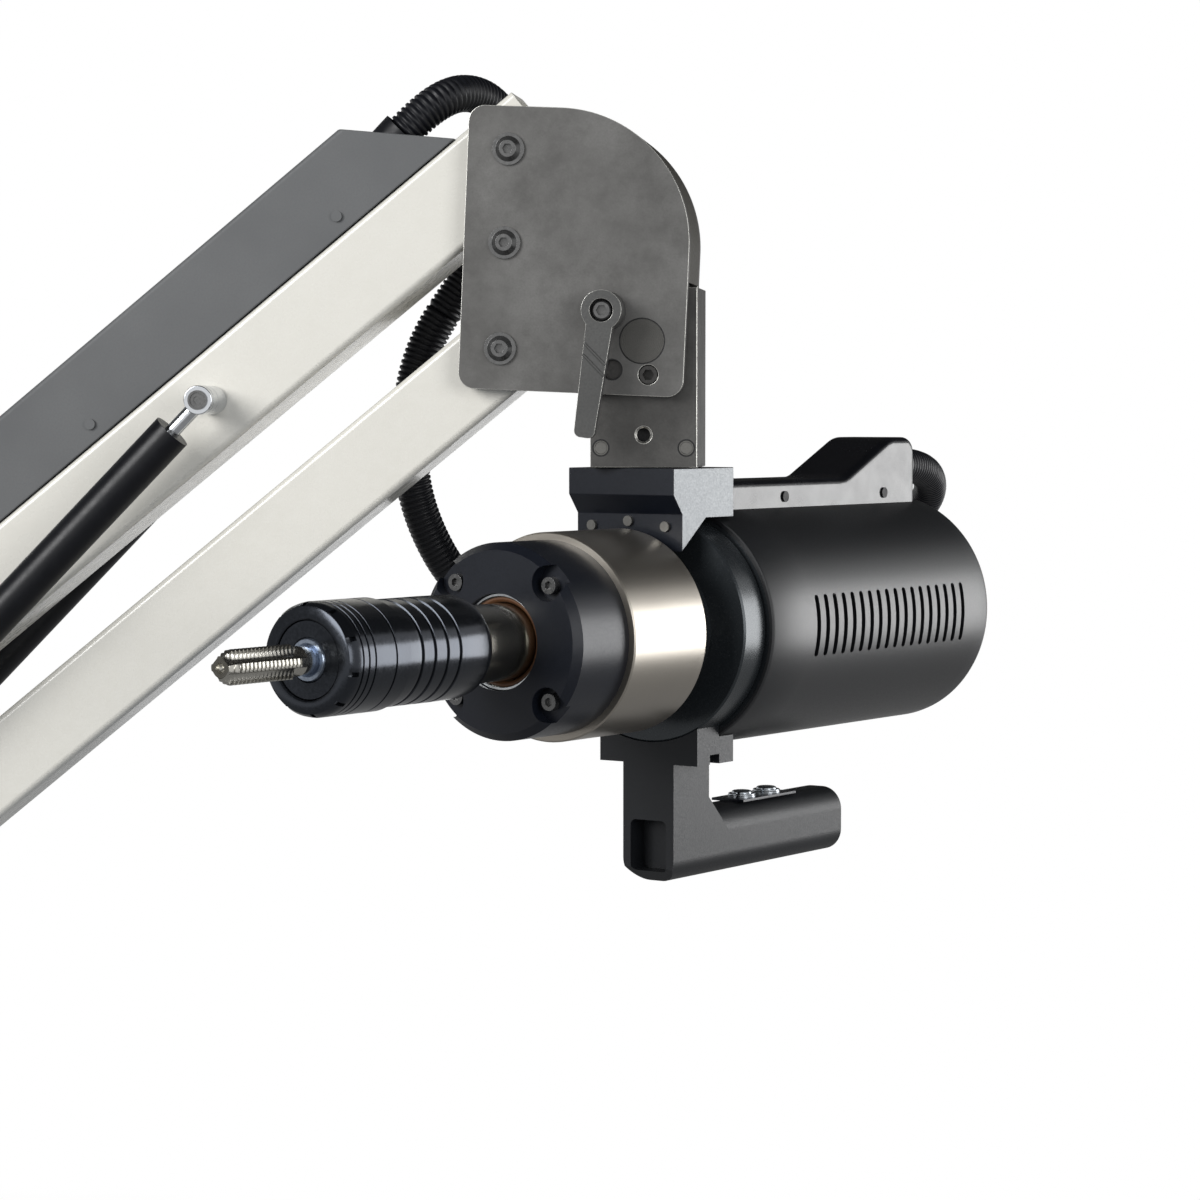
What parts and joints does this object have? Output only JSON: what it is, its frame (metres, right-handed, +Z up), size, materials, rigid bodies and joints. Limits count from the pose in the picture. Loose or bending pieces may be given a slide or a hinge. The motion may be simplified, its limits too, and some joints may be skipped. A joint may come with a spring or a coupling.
{
  "type": "arm tapping machine",
  "caption": "Bench tapping machine: a motor spindle with a quick-change chuck hangs on a balanced parallel arm with a turning post.",
  "frame": {"origin": "centre of the bench flange's bottom face", "axes": "+X along the arm towards the tool head, +Y away from the side that carries the clamp lever, +Z up"},
  "size_m": [0.819, 0.6671, 0.8518],
  "materials": {
    "bracket_steel": "satin",
    "arm_enamel": "gloss",
    "black_paint": "satin",
    "black_anodised": "satin",
    "nickel": "satin",
    "turned_aluminium": "brushed",
    "screw_steel": "satin",
    "bright_steel": "polished",
    "chuck_black": "polished",
    "chrome": "polished",
    "shroud_plastic": "gloss",
    "seal_rubber": "matte",
    "hose_plastic": "satin",
    "button_metal": "satin"
  },
  "bodies": {
    "base": {"bench_flange": "bracket_steel", "post_tube": "bracket_steel"},
    "turret": {"swivel_hub": "bracket_steel", "root_plate_front": "bracket_steel", "root_plate_rear": "bracket_steel", "root_pivot_pins": "bright_steel", "root_screws": "screw_steel"},
    "upper_arm": {"upper_tube": "arm_enamel", "upper_tube_bushes": "bright_steel", "arm_cover": "bracket_steel", "arm_cover_screws": "screw_steel", "hose_gland_arm": "hose_plastic", "spring_pin": "screw_steel", "hose_upper": "hose_plastic"},
    "lower_arm": {"lower_tube": "arm_enamel", "lower_tube_bushes": "bright_steel"},
    "gas_body_front": {"gas_cylinder_front": "black_paint"},
    "gas_body_rear": {"gas_cylinder_rear": "black_paint"},
    "gas_bar_front": {"gas_rod_front": "bright_steel"},
    "gas_bar_rear": {"gas_rod_rear": "bright_steel"},
    "bracket": {"bracket_plate_front": "bracket_steel", "bracket_plate_rear": "bracket_steel", "bracket_band": "black_paint", "bracket_pivot_pins": "bright_steel", "bracket_spacer": "bright_steel", "bracket_screws": "screw_steel", "tilt_pin": "bracket_steel", "index_plugs": "black_paint", "clamp_stud": "bright_steel", "hose_middle": "hose_plastic"},
    "lever": {"clamp_lever": "bracket_steel", "clamp_screw": "screw_steel"},
    "hanger": {"hanger_bar": "bracket_steel", "hanger_dowels": "bright_steel"},
    "tool": {"saddle": "black_anodised", "swivel_pin": "bright_steel", "saddle_screws": "bright_steel", "drive_flange": "black_anodised", "turned_ring": "turned_aluminium", "gearbox_ring": "nickel", "front_cap": "black_anodised", "cap_screws": "screw_steel", "bearing_ring": "chrome", "shaft_seal": "seal_rubber", "servo_motor": "black_anodised", "motor_cover": "black_paint", "top_shroud": "shroud_plastic", "shroud_screws": "screw_steel", "hose_gland_tool": "hose_plastic", "handle": "black_anodised", "button_plate": "black_anodised", "hose_lower": "hose_plastic"},
    "forward_key": {"button_forward": "button_metal"},
    "reverse_key": {"button_reverse": "button_metal"},
    "rotor": {"spindle": "bright_steel", "chuck_body": "chuck_black"},
    "sleeve": {"chuck_sleeve": "chuck_black"},
    "tap_set": {"tap_collet": "chrome", "tap": "bright_steel"}
  },
  "joints": [
    {"name": "base_swivel", "type": "hinge", "parent": "base", "child": "turret", "pos_m": [0, 0, 0.25], "axis": [0, 0, 1], "range_deg": [-180, 180]},
    {"name": "arm_lift", "type": "hinge", "parent": "turret", "child": "upper_arm", "pos_m": [0.045, 0, 0.451], "axis": [0, -1, 0], "range_deg": [-39, 6], "deforming": ["hose_upper"]},
    {"name": "lower_arm_pivot", "type": "hinge", "parent": "turret", "child": "lower_arm", "pos_m": [0.04025, 0, 0.3421], "axis": [0, -1, 0], "range_deg": [-40, 7]},
    {"name": "bracket_level", "type": "hinge", "parent": "upper_arm", "child": "bracket", "pos_m": [0.47897, 0, 0.80494], "axis": [0, -1, 0], "range_deg": [-7, 40]},
    {"name": "gas_pivot_front", "type": "hinge", "parent": "upper_arm", "child": "gas_body_front", "pos_m": [0.31081, -0.052, 0.66779], "axis": [0, -1, 0], "range_deg": [-2, 7]},
    {"name": "gas_pivot_rear", "type": "hinge", "parent": "upper_arm", "child": "gas_body_rear", "pos_m": [0.31081, 0.052, 0.66779], "axis": [0, -1, 0], "range_deg": [-2, 7]},
    {"name": "gas_stroke_front", "type": "slide", "parent": "gas_body_front", "child": "gas_bar_front", "axis": [-0.6972, 0, -0.7169], "range_m": [-0.04, 0.008]},
    {"name": "gas_stroke_rear", "type": "slide", "parent": "gas_body_rear", "child": "gas_bar_rear", "axis": [-0.6972, 0, -0.7169], "range_m": [-0.04, 0.008]},
    {"name": "head_tilt", "type": "hinge", "parent": "bracket", "child": "hanger", "pos_m": [0.55246, 0, 0.70003], "axis": [0, -1, 0], "range_deg": [0, 90], "deforming": ["hose_middle"]},
    {"name": "head_swivel", "type": "hinge", "parent": "hanger", "child": "tool", "pos_m": [0.55246, 0, 0.63], "axis": [0, 0, 1], "range_deg": [-44, 68], "deforming": ["hose_lower"]},
    {"name": "clamp_lever_turn", "type": "hinge", "parent": "bracket", "child": "lever", "pos_m": [0.53275, -0.035, 0.71621], "axis": [0, -1, 0], "range_deg": [-60, 60]},
    {"name": "spindle_spin", "type": "hinge", "parent": "tool", "child": "rotor", "pos_m": [0.55246, 0, 0.54073], "axis": [-0.4695, -0.8829, 0], "continuous": true},
    {"name": "sleeve_pull", "type": "slide", "parent": "rotor", "child": "sleeve", "axis": [0.4695, 0.8829, 0], "range_m": [0, 0.006], "stiffness_N_per_m": 1500, "springref_m": -0.004},
    {"name": "tap_pull", "type": "slide", "parent": "rotor", "child": "tap_set", "axis": [-0.4695, -0.8829, 0], "range_m": [0, 0.045]},
    {"name": "forward_press", "type": "slide", "parent": "tool", "child": "forward_key", "axis": [0, 0, -1], "range_m": [0, 0.002], "stiffness_N_per_m": 600, "springref_m": -0.002},
    {"name": "reverse_press", "type": "slide", "parent": "tool", "child": "reverse_key", "axis": [0, 0, -1], "range_m": [0, 0.002], "stiffness_N_per_m": 600, "springref_m": -0.002}
  ],
  "couplings": [
    {"joint": "lower_arm_pivot", "follows": "arm_lift", "ratio": 1},
    {"joint": "bracket_level", "follows": "arm_lift", "ratio": -1},
    {"joint": "gas_pivot_front", "follows": "arm_lift", "ratio": -0.165},
    {"joint": "gas_pivot_rear", "follows": "arm_lift", "ratio": -0.165},
    {"joint": "gas_stroke_front", "follows": "arm_lift", "m_per_rad": 0.056},
    {"joint": "gas_stroke_rear", "follows": "arm_lift", "m_per_rad": 0.056}
  ]
}
